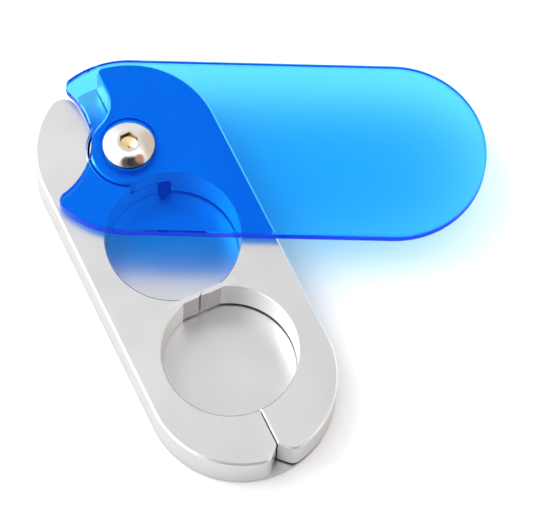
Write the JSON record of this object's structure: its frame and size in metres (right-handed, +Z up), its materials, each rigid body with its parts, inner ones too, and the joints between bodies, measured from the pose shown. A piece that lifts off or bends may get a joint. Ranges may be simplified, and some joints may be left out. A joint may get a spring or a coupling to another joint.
{
  "type": "pill splitter",
  "caption": "Pocket pill splitter: two hinged aluminium jaws with round pockets and opposed blades at the neck between them, under a swivelling clear blue cover.",
  "frame": {"origin": "middle of the flat underside of the jaws", "axes": "+Z up out of the pockets, +Y from the prising notch towards the pivot, +X towards the side on which the swing jaw opens"},
  "size_m": [0.0779, 0.0829, 0.0134],
  "materials": {
    "satin_aluminium": "bead-blasted and clear-anodised, satin",
    "blue_acrylic": "transparent blue cast acrylic with polished edges",
    "blade_steel": "hardened, ground flanks and bevels",
    "ground_steel": "ground",
    "stainless_steel": "polished stainless",
    "white_nylon": "plain natural nylon"
  },
  "bodies": {
    "base": {"base_jaw": "satin_aluminium", "base_blade": "blade_steel", "base_blade_pin": "ground_steel", "pivot_sleeve": "ground_steel", "hub_washer": "white_nylon", "cover_washer": "white_nylon", "head_washer": "white_nylon", "pivot_screw": "stainless_steel", "pivot_nut": "stainless_steel"},
    "swing": {"swing_jaw": "satin_aluminium", "swing_blade": "blade_steel", "swing_blade_pin": "ground_steel"},
    "cover": {"cover": "blue_acrylic"}
  },
  "joints": [
    {"name": "swing_hinge", "type": "hinge", "parent": "base", "child": "swing", "pos_m": [0, 0.02425, 0.0055], "axis": [0, 0, 1], "range_deg": [-0.18, 24]},
    {"name": "cover_swivel", "type": "hinge", "parent": "base", "child": "cover", "pos_m": [0, 0.02425, 0.0106], "axis": [0, 0, 1], "continuous": true}
  ]
}
